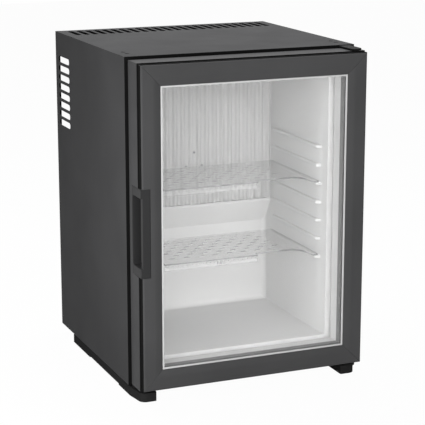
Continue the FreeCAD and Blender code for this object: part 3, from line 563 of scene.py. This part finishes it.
def softened(node, width_mm, segments=2):
    bm = merged_copy(node)
    round_edges(bm, width_mm, segments)
    return add_piece(bm, node + "_soft_edged", node)


def softened_member(node, way, width_mm):
    """A door member: its long edges are rounded more finely than those of its mitres."""
    bm = merged_copy(node)
    round_edges(bm, width_mm, 3, lambda edge: lined_up(edge, way) > ALONGSIDE)
    round_edges(bm, MITRE_EDGE, 1, lambda edge: lined_up(edge, way) < CROSSWISE)
    return add_piece(bm, node + "_soft_edged", node)


def paint_gap_shade(piece, way):
    """Paints shade: faces that look along a direction, onto the gap or the groove, get a matt black in place
    of the shade that falls there.
    """
    piece.data.materials.append(FINISHES["front_hem"])
    for face in piece.data.polygons:
        if face.normal.dot(way) > FACING:
            face.material_index = 1


def ledged_liner():
    """The liner: well rounded shelf ledges, and a light rounding elsewhere."""
    bm = merged_copy("inner_liner")
    low, high = LEDGE_ZONE_LOW, LEDGE_ZONE_HIGH

    def on_ledge(edge):
        places = [vert.co / MM for vert in edge.verts]
        inside = all(low[0] < place.y < high[0] and low[1] < place.z < high[1] for place in places)
        return inside and any(abs(place.x) < LEDGE_CREST for place in places)

    round_edges(bm, LEDGE_ROUNDING, 4, on_ledge)
    round_edges(bm, LINER_EDGE, 2, lambda edge: not on_ledge(edge))
    add_piece(bm, "inner_liner_soft_edged", "inner_liner")


def slotted_panel(node, through):
    """A sheet panel whose slots get round corners before its edges are eased."""
    bm = merged_copy(node)
    limit = SHEET * SHEET_SLACK_SHARE * MM
    round_edges(
        bm, SLOT_CORNER, 3,
        lambda edge: edge.calc_length() < limit and lined_up(edge, through) > ALONGSIDE,
    )
    round_edges(bm, PANEL_EDGE, 1)
    # The faces that look forward, onto the gap round the door, get painted shade
    paint_gap_shade(add_piece(bm, node + "_soft_edged", node), -ALONG_Y)


def soften_nodes():
    for node, width in SOFT_EDGES.items():
        softened(node, width)
    ledged_liner()
    # The pan's forward faces, in the gap under the door, get painted shade
    paint_gap_shade(softened("base_pan", PANEL_EDGE), -ALONG_Y)
    softened("cooling_cover", COVER_EDGE, segments=3)
    for side, way, outward in DOOR_MEMBERS:
        # Door members: the outer faces into the gap and the forward faces in the groove get painted shade
        paint_gap_shade(softened_member("door_front_" + side, way, DOOR_FACE_EDGE), outward)
        paint_gap_shade(softened_member("door_rear_" + side, way, DOOR_CORE_EDGE), -ALONG_Y)
    slotted_panel("side_panel_left", ALONG_X)
    slotted_panel("side_panel_right", ALONG_X)
    slotted_panel("top_panel", ALONG_Z)


# Round, bent and turned forms
def facing(centre, along):
    """The matrix that stands a form made along Z on a centre and along a direction."""
    return Matrix.Translation(centre) @ along.to_track_quat("Z", "Y").to_matrix().to_4x4()


def drawn_on(bm, ring, travel):
    """Draws a ring of edges on by a travel, and gives the new ring."""
    made = bmesh.ops.extrude_edge_only(bm, edges=ring)["geom"]
    verts = parts_of(made, bmesh.types.BMVert)
    bmesh.ops.translate(bm, verts=verts, vec=travel)
    return [edge for edge in parts_of(made, bmesh.types.BMEdge) if all(v in verts for v in edge.verts)]


def bent_tube(bm, route_mm, radius_mm, bend_mm):
    """A closed tube: its straight runs are drawn on and its bends are spun."""
    points = [Vector(point) * MM for point in route_mm]
    bend = bend_mm * MM
    made = bmesh.ops.create_circle(
        bm, cap_ends=False, segments=TUBE_SIDES, radius=radius_mm * MM,
        matrix=facing(points[0], points[1] - points[0]),
    )
    ring = each_once(edge for vert in made["verts"] for edge in vert.link_edges)
    here = points[0]
    for before, corner, after in zip(points, points[1:], points[2:]):
        way_in = (corner - before).normalized()
        way_out = (after - corner).normalized()
        turn = way_in.angle(way_out)
        setback = bend * math.tan(turn / 2)
        start = corner - way_in * setback
        ring = drawn_on(bm, ring, start - here)
        axis = way_in.cross(way_out).normalized()
        verts = each_once(vert for edge in ring for vert in edge.verts)
        spun = bmesh.ops.spin(
            bm, geom=verts + ring, cent=start + axis.cross(way_in) * bend, axis=axis,
            angle=turn, steps=BEND_STEPS, use_merge=False,
        )
        ring = parts_of(spun["geom_last"], bmesh.types.BMEdge)
        here = corner + way_out * setback
    drawn_on(bm, ring, points[-1] - here)
    bmesh.ops.holes_fill(bm, edges=[edge for edge in bm.edges if edge.is_boundary], sides=0)


def turned(bm, centre_mm, along, profile_mm, sides=TURNED_SIDES):
    """A turned form, from a profile of (radius, place along the axis) pairs."""
    before = set(bm.verts)
    verts = [bm.verts.new((radius * MM, 0.0, place * MM)) for radius, place in profile_mm]
    edges = [bm.edges.new(pair) for pair in zip(verts, verts[1:])]
    bmesh.ops.spin(
        bm, geom=verts + edges, cent=(0.0, 0.0, 0.0), axis=ALONG_Z,
        angle=2 * math.pi, steps=sides, use_merge=True,
    )
    made = [vert for vert in bm.verts if vert not in before]
    bmesh.ops.remove_doubles(bm, verts=made, dist=WELD)
    made = [vert for vert in bm.verts if vert not in before]
    bmesh.ops.transform(bm, matrix=facing(Vector(centre_mm) * MM, along), verts=made)


def corner_arc(radius, place, corner, start):
    """Points of a quarter round, for a turned profile."""
    angles = [start + math.pi / 2 * n / ARC_STEPS for n in range(ARC_STEPS + 1)]
    return [(radius + corner * math.cos(a), place + corner * math.sin(a)) for a in angles]


# Cooling unit
def bare_tube(node, route, radius, bend):
    bm = bmesh.new()
    bent_tube(bm, route, radius, bend)
    add_piece(bm, node + "_round", node)


def upright_turned(node, name, profile_mm, sides=TURNED_SIDES):
    """A turned form that stands in the middle of its node's box."""
    low, high = box_mm(node)
    bm = bmesh.new()
    turned(bm, ((low.x + high.x) / 2, (low.y + high.y) / 2, low.z), ALONG_Z, profile_mm, sides)
    add_piece(bm, name, node)


def lying_turned(node, name, profile_mm, sides=TURNED_SIDES):
    """A turned form that lies along X in the middle of its node's box."""
    low, high = box_mm(node)
    bm = bmesh.new()
    turned(bm, (low.x, (low.y + high.y) / 2, (low.z + high.z) / 2), ALONG_X, profile_mm, sides)
    add_piece(bm, name, node)


def vessel_barrel():
    """The absorber vessel: a drum with rounded ends and a weld bead at each of them."""
    low, high = box_mm("absorber_vessel")
    length = high.x - low.x
    radius = (high.z - low.z) / 2
    inner = radius - VESSEL_CORNER
    inset = VESSEL_CORNER + VESSEL_WELD_INSET
    profile = [(0.0, 0.0)] + corner_arc(inner, VESSEL_CORNER, VESSEL_CORNER, -math.pi / 2)
    for weld in (inset, length - inset):
        profile.append((radius, weld - VESSEL_WELD_HALF))
        profile.append((radius + VESSEL_WELD_RISE, weld))
        profile.append((radius, weld + VESSEL_WELD_HALF))
    profile += corner_arc(inner, length - VESSEL_CORNER, VESSEL_CORNER, 0.0) + [(0.0, length)]
    lying_turned("absorber_vessel", "absorber_vessel_welded", profile)


def generator_jacket():
    """The zinc jacket of the generator, with a rolled lip at each end and a lid."""
    low, high = box_mm("generator_can")
    radius = (high.x - low.x) / 2
    waist = radius - CAN_LIP
    lid_top = high.z - low.z
    top = lid_top - CAN_LID_HEIGHT
    profile = [(0.0, 0.0), (radius - CAN_CORNER, 0.0), (radius, CAN_CORNER)]
    profile += [(radius, CAN_LIP_HEIGHT), (waist, CAN_LIP_HEIGHT + CAN_LIP)]
    profile += [(waist, top - CAN_LIP_HEIGHT - CAN_LIP), (radius, top - CAN_LIP_HEIGHT)]
    profile += [(radius, top - CAN_CORNER), (radius - CAN_CORNER, top), (CAN_LID_RADIUS, top)]
    profile += [(CAN_LID_RADIUS, lid_top - CAN_CORNER), (CAN_LID_RADIUS - CAN_CORNER, lid_top)]
    profile.append((0.0, lid_top))
    upright_turned("generator_can", "generator_can_jacket", profile)


def heater_rod():
    """The heater: a rod with a neck at its foot and an eased tip."""
    low, high = box_mm("heater_cartridge")
    length = high.z - low.z
    radius = (high.x - low.x) / 2
    neck = radius * HEATER_NECK_SHARE
    profile = [(0.0, 0.0), (neck, 0.0), (neck, HEATER_NECK), (radius, HEATER_SHOULDER)]
    profile += [(radius, length - HEATER_TIP), (radius - HEATER_TIP, length), (0.0, length)]
    upright_turned("heater_cartridge", "heater_cartridge_round", profile, TUBE_SIDES)


def exchanger_jacket():
    """A tube that swells into its outer jacket between the vessel and the generator."""
    length = EXCHANGER_END - box_mm("heat_exchanger")[0].x
    start, end = JACKET_SPAN
    profile = [(0.0, 0.0), (EXCHANGER_RADIUS, 0.0), (EXCHANGER_RADIUS, start)]
    profile += [(JACKET_RADIUS, start + JACKET_TAPER), (JACKET_RADIUS, end - JACKET_TAPER)]
    profile += [(EXCHANGER_RADIUS, end), (EXCHANGER_RADIUS, length), (0.0, length)]
    lying_turned("heat_exchanger", "heat_exchanger_swaged", profile, TUBE_SIDES)


def fin_stack():
    """Fins with rounded corners, each pressed onto the condenser with a collar."""
    top, fall = Vector(CONDENSER_ROUTE[1]), Vector(CONDENSER_ROUTE[2])
    slope = (top.z - fall.z) / (top.x - fall.x)
    way = (top - fall).normalized()
    bm = bmesh.new()
    for n in range(FIN_COUNT):
        x = FIN_FIRST + n * FIN_PITCH
        centre = Vector((x, top.y, fall.z + slope * (x - fall.x)))
        made = bmesh.ops.create_grid(bm, x_segments=1, y_segments=1, size=HALF_UNIT)["verts"]
        bmesh.ops.scale(bm, verts=made, vec=(FIN_SIZE[1] * MM, FIN_SIZE[0] * MM, 1.0))
        bmesh.ops.transform(bm, matrix=facing(centre * MM, ALONG_X), verts=made)
        rounded = bmesh.ops.bevel(
            bm, geom=made, offset=FIN_CORNER * MM, offset_type="OFFSET", segments=FIN_CORNER_STEPS,
            profile=0.5, affect="VERTICES", material=-1,
        )
        plate = each_once(face for vert in rounded["verts"] for face in vert.link_faces)
        thick = bmesh.ops.extrude_face_region(bm, geom=plate)["geom"]
        verts = parts_of(thick, bmesh.types.BMVert)
        bmesh.ops.translate(bm, verts=verts, vec=ALONG_X * FIN_SHEET * MM)
        turned(bm, centre + ALONG_X * FIN_SHEET, way, FIN_COLLAR, TUBE_SIDES)
    add_piece(bm, "condenser_fin_stack", "condenser_fins")


# Inside the cabinet
def cut_at(bm, way, places_mm, part=None):
    """Cuts faces by a plane at each place along a direction."""
    for place in places_mm:
        faces = [face for face in bm.faces if not part or part(face)]
        edges = each_once(edge for face in faces for edge in face.edges)
        verts = each_once(vert for face in faces for vert in face.verts)
        bmesh.ops.bisect_plane(
            bm, geom=faces + edges + verts, plane_co=way * place * MM, plane_no=way, dist=WELD,
        )


def drop_faces(bm, test):
    faces = [face for face in bm.faces if test(face.calc_center_median() / MM)]
    bmesh.ops.delete(bm, geom=faces, context="FACES")


def both_edges(places_mm, width_mm):
    return [place + side * width_mm / 2 for place in places_mm for side in (-1, 1)]


def punch_shelf(bm, rear):
    """Rows of slots, each row shifted by half a pitch from the one before it."""
    step_x = SHELF_SLOT_PITCH[0] / 2
    step_y = SHELF_SLOT_PITCH[1]
    wide, deep = SHELF_SLOT
    first = rear - SHELF_SLOT_MARGIN
    columns = [n * step_x for n in range(-SHELF_SLOT_COLUMNS, SHELF_SLOT_COLUMNS + 1)]
    rows = [first - n * step_y for n in range(SHELF_SLOT_ROWS)]
    cut_at(bm, ALONG_X, both_edges(columns, wide))
    cut_at(bm, ALONG_Y, both_edges(rows, deep))

    def is_slot(centre):
        column = round(centre.x / step_x)
        row = round((first - centre.y) / step_y)
        if abs(column) > SHELF_SLOT_COLUMNS or not 0 <= row < SHELF_SLOT_ROWS or (column + row) % 2:
            return False
        return abs(centre.x - column * step_x) < wide / 2 and abs(first - row * step_y - centre.y) < deep / 2

    drop_faces(bm, is_slot)


def add_shelf_arm(bm, side, half, root, fold, tip, rear, top):
    """The side of the shelf, whose front bows out into an arm along the wall."""
    line = [vert for vert in bm.verts if abs(vert.co.x - side * root * MM) < WELD]
    line.sort(key=lambda vert: vert.co.y, reverse=True)
    tip_x = half - SHELF_ARM_TIP
    across, along = SHELF_BOW_SHARES
    start = Vector((side * root, fold, top))
    end = Vector((side * tip_x, tip, top))
    pull = Vector((side * (root + (tip_x - root) * across), fold + (tip - fold) * along, top))
    bow = interpolate_bezier(start, pull, pull, end, SHELF_BOW_POINTS)[1:]
    points = bow + [Vector((side * half, tip, top)), Vector((side * half, rear, top))]
    bm.faces.new(line + [bm.verts.new(point * MM) for point in points])


def add_shelf_lip(bm, fold, front, top):
    """The front edge between two places runs forward, turns down and gets its marks."""
    low, high = SHELF_LIP
    behind = (fold + SHELF_SLOT_PITCH[1]) * MM
    cut_at(bm, ALONG_X, SHELF_LIP, lambda face: face.calc_center_median().y < behind)

    def on_fold(edge):
        ends = sorted(vert.co.x for vert in edge.verts)
        level = all(abs(vert.co.y - fold * MM) < WELD for vert in edge.verts)
        return level and low * MM - WELD < ends[0] and ends[1] < high * MM + WELD

    ring = [edge for edge in bm.edges if on_fold(edge)]
    ring = drawn_on(bm, ring, ALONG_Y * (front - fold) * MM)
    drawn_on(bm, ring, ALONG_Z * -SHELF_LIP_DROP * MM)

    def on_lip(face):
        return abs(face.calc_center_median().y - front * MM) < WELD

    middle = (low + high) / 2
    height = top - LIP_SLOT_DROP
    wide, tall = LIP_SLOT
    groups = [middle + (n - (LIP_GROUPS - 1) / 2) * LIP_GROUP_PITCH for n in range(LIP_GROUPS)]
    slots = [group + n * LIP_SLOT_PITCH for group in groups for n in (-1, 0, 1)]
    cut_at(bm, ALONG_X, both_edges(slots, wide), on_lip)
    cut_at(bm, ALONG_Z, both_edges([height], tall), on_lip)

    def is_mark(centre):
        near = min(abs(centre.x - x) for x in slots)
        return abs(centre.y - front) < NEAR and near < wide / 2 and abs(centre.z - height) < tall / 2

    drop_faces(bm, is_mark)


def clear_shelf(node):
    """A moulded shelf: a sheet with slots, arms and a lip, which then gets its thickness."""
    low, high = box_mm(node)
    half, rear, tip, top = high.x, high.y, low.y, high.z
    front = rear - SHELF_REACH
    fold = front + SHELF_SET_BACK
    root = half - SHELF_ARM_ROOT
    bm = bmesh.new()
    made = bmesh.ops.create_grid(bm, x_segments=1, y_segments=1, size=HALF_UNIT)["verts"]
    bmesh.ops.scale(bm, verts=made, vec=(2 * root * MM, (rear - fold) * MM, 1.0))
    bmesh.ops.translate(bm, verts=made, vec=Vector((0.0, (rear + fold) / 2, top)) * MM)
    punch_shelf(bm, rear)
    for side in (-1, 1):
        add_shelf_arm(bm, side, half, root, fold, tip, rear, top)
    add_shelf_lip(bm, fold, front, top)
    bmesh.ops.recalc_face_normals(bm, faces=bm.faces)
    flat = max(bm.faces, key=lambda face: abs(face.normal.z) * face.calc_area())
    if flat.normal.z < 0:
        bmesh.ops.reverse_faces(bm, faces=bm.faces)
    bmesh.ops.solidify(bm, geom=bm.faces[:], thickness=SHELF_SHEET * MM)
    bmesh.ops.dissolve_limit(bm, angle_limit=FLAT_ANGLE, verts=bm.verts, edges=bm.edges)
    round_edges(bm, SHELF_EDGE, 2)
    add_piece(bm, node + "_moulded", node)


def cut_cross(bm, centre_mm):
    """Sinks a cross into the top of a screw head that faces the front."""
    lines = (-CROSS_WIDTH, CROSS_WIDTH, -CROSS_REACH, CROSS_REACH)

    def gap_of(face):
        return face.calc_center_median() / MM - centre_mm

    def on_head(face):
        gap = gap_of(face)
        return math.hypot(gap.x, gap.z) < PAN_HEAD_RADIUS

    def on_cross(face):
        gap = gap_of(face)
        across, up = abs(gap.x), abs(gap.z)
        in_arm = min(across, up) < CROSS_WIDTH and max(across, up) < CROSS_REACH
        return in_arm and gap.y < -PAN_HEAD_RIM

    cut_at(bm, ALONG_X, [centre_mm.x + place for place in lines], on_head)
    cut_at(bm, ALONG_Z, [centre_mm.z + place for place in lines], on_head)
    sunk = [face for face in bm.faces if on_cross(face)]
    made = bmesh.ops.extrude_face_region(bm, geom=sunk)["geom"]
    bmesh.ops.translate(bm, verts=parts_of(made, bmesh.types.BMVert), vec=ALONG_Y * CROSS_DEPTH * MM)
    bmesh.ops.delete(bm, geom=sunk, context="FACES_ONLY")


def cover_screw_heads():
    """Three pan heads: one above, in the middle, and one at each side below."""
    low, high = box_mm("cover_screws")
    left, right = low.x + PAN_HEAD_RADIUS, high.x - PAN_HEAD_RADIUS
    drop, top = low.z + PAN_HEAD_RADIUS, high.z - PAN_HEAD_RADIUS
    bm = bmesh.new()
    for x, z in (((left + right) / 2, top), (left, drop), (right, drop)):
        seat = Vector((x, high.y, z))
        turned(bm, seat, -ALONG_Y, PAN_HEAD, TUBE_SIDES)
        cut_cross(bm, seat)
    add_piece(bm, "cover_screws_crossed", "cover_screws")


# Door
def mitred_ring(bm, profile_mm, half, low, high, face):
    """Runs a closed profile of (outset, depth) pairs round a rectangular opening."""
    middle = (low + high) / 2

    def set_corners(verts, outset, depth):
        for vert in verts:
            vert.co.x = math.copysign(half + outset, vert.co.x) * MM
            vert.co.y = (face + depth) * MM
            vert.co.z = (low - outset if vert.co.z < middle * MM else high + outset) * MM

    corners = [bm.verts.new((x, 0.0, z * MM)) for x, z in ((-1, low), (1, low), (1, high), (-1, high))]
    first = [bm.edges.new(pair) for pair in zip(corners, corners[1:] + corners[:1])]
    set_corners(corners, *profile_mm[0])
    ring = first
    for outset, depth in profile_mm[1:]:
        ring = drawn_on(bm, ring, Vector())
        set_corners(each_once(vert for edge in ring for vert in edge.verts), outset, depth)
    bmesh.ops.bridge_loops(bm, edges=first + ring)


def bellows_gasket():
    """The gasket: a dart in the door's slot, a bellows and a flat head on the cabinet."""
    low, high = box_mm("glazing_bead")
    back = box_mm("door_rear_left")[1].y
    bm = bmesh.new()
    profile = [(GASKET_INSET + across, depth) for across, depth in GASKET_PROFILE]
    mitred_ring(bm, profile, high.x + BEAD_GAP, low.z - BEAD_GAP, high.z + BEAD_GAP, back)
    add_piece(bm, "door_gasket_bellows", "door_gasket")


# Camera, light and floor
def look_along(thing, way):
    thing.rotation_mode = "QUATERNION"
    thing.rotation_quaternion = way.to_track_quat("-Z", "Y")


def place_camera():
    lens = bpy.data.cameras.new("camera")
    lens.lens = CAMERA_LENS
    lens.sensor_width = SENSOR
    camera = link_object("camera", lens)
    camera.location = CAMERA_PLACE
    look_along(camera, Vector((
        -math.sin(CAMERA_AZIMUTH) * math.cos(CAMERA_ELEVATION),
        math.cos(CAMERA_AZIMUTH) * math.cos(CAMERA_ELEVATION),
        -math.sin(CAMERA_ELEVATION),
    )))
    bpy.context.scene.camera = camera


def soft_lamp(name, place, target, size, watts):
    """A square lamp that no lens sees. One close to the door isn't mirrored in the panes either."""
    light = bpy.data.lights.new(name, "AREA")
    light.shape = "SQUARE"
    light.size = size
    light.energy = watts
    lamp = link_object(name, light)
    lamp.location = place
    look_along(lamp, Vector(target) - Vector(place))
    lamp.visible_camera = False
    lamp.visible_glossy = name not in UNMIRRORED_LAMPS
    lamp.visible_transmission = name not in UNMIRRORED_LAMPS


def camera_or_clear(tree):
    """One for what the camera sees, straight, in mirrors or through glass, and else zero."""
    path = tree.nodes.new("ShaderNodeLightPath")
    total = path.outputs["Is Camera Ray"]
    for ray in ("Is Glossy Ray", "Is Transmission Ray"):
        wider = tree.nodes.new("ShaderNodeMath")
        wider.operation = "MAXIMUM"
        tree.links.new(total, wider.inputs[0])
        tree.links.new(path.outputs[ray], wider.inputs[1])
        total = wider.outputs["Value"]
    return total


def white_world():
    """A white studio to look at and through glass, and a softer one as light."""
    world = bpy.data.worlds.new("studio")
    world.use_nodes = True
    tree = world.node_tree
    background = tree.nodes["Background"]
    background.inputs["Color"].default_value = (1.0, 1.0, 1.0, 1.0)
    strength = tree.nodes.new("ShaderNodeMapRange")
    strength.inputs["To Min"].default_value = ROOM_LIGHT
    strength.inputs["To Max"].default_value = ROOM_SEEN
    tree.links.new(camera_or_clear(tree), strength.inputs["Value"])
    tree.links.new(strength.outputs["Result"], background.inputs["Strength"])
    bpy.context.scene.world = world


def pale_floor():
    """A matt floor that takes the fridge's shadow, and is nearly white to look at."""
    bm = bmesh.new()
    bmesh.ops.create_grid(bm, x_segments=1, y_segments=1, size=FLOOR_HALF)
    mesh = mesh_of(bm, "floor")
    floor = link_object("floor", mesh)
    material, tree, shader = node_graph("floor_white")
    shader.inputs["Base Color"].default_value = opaque(FLOOR_GREY)
    shader.inputs["Roughness"].default_value = FLOOR_ROUGHNESS
    shader.inputs["Specular IOR Level"].default_value = 0.0
    glow = tree.nodes.new("ShaderNodeEmission")
    share = tree.nodes.new("ShaderNodeMath")
    share.operation = "MULTIPLY"
    share.inputs[1].default_value = FLOOR_GLOW_SHARE
    tree.links.new(camera_or_clear(tree), share.inputs[0])
    mix = tree.nodes.new("ShaderNodeMixShader")
    tree.links.new(share.outputs["Value"], mix.inputs["Fac"])
    tree.links.new(shader.outputs["BSDF"], mix.inputs[1])
    tree.links.new(glow.outputs["Emission"], mix.inputs[2])
    tree.links.new(mix.outputs["Shader"], tree.nodes["Material Output"].inputs["Surface"])
    mesh.materials.append(material)


dress_nodes()
soften_nodes()
bare_tube("absorber_coil", COIL_ROUTE, COIL_RADIUS, COIL_BEND)
bare_tube("condenser_tube", CONDENSER_ROUTE, CONDENSER_RADIUS, CONDENSER_BEND)
vessel_barrel()
generator_jacket()
heater_rod()
exchanger_jacket()
fin_stack()
clear_shelf("shelf_upper")
clear_shelf("shelf_lower")
cover_screw_heads()
bellows_gasket()

place_camera()
for lamp_name, lamp_facts in LAMPS.items():
    soft_lamp(lamp_name, *lamp_facts)
white_world()
pale_floor()
bpy.context.scene.view_settings.view_transform = "Standard"
